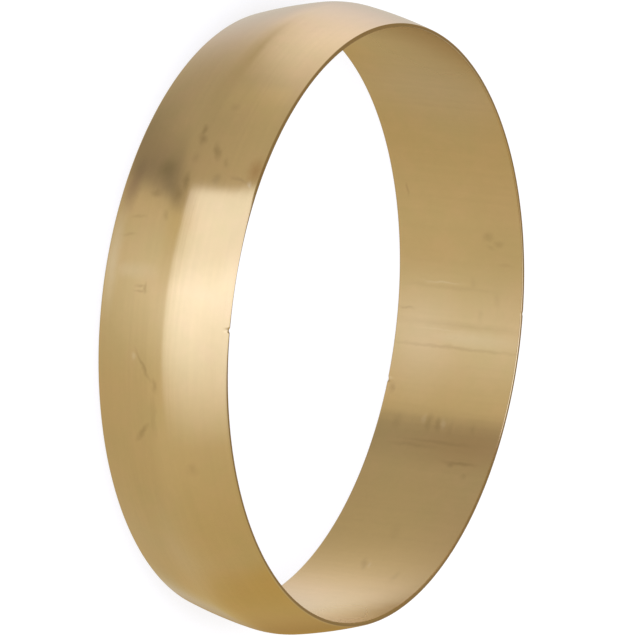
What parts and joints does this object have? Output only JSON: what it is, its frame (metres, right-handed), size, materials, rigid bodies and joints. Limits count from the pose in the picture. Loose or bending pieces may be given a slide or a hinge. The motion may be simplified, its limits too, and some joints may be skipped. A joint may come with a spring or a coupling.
{
  "type": "compression olive",
  "caption": "Brass compression ring with a straight bore and a crowned outside that thins to both rims; slides on a copper tube and is squeezed between a fitting and its nut to seal.",
  "frame": {"origin": "on the bore's axis, in the plane of the rim the ring lies on", "axes": "+Z along the bore, up from the rim the ring lies on; X and Y are free, because the ring is round"},
  "size_m": [0.0578, 0.0578, 0.0132],
  "materials": {
    "brass": "smooth turned brass with a soft sheen, lightly tarnished and handled"
  },
  "bodies": {
    "root": {"olive": "brass"}
  },
  "joints": []
}
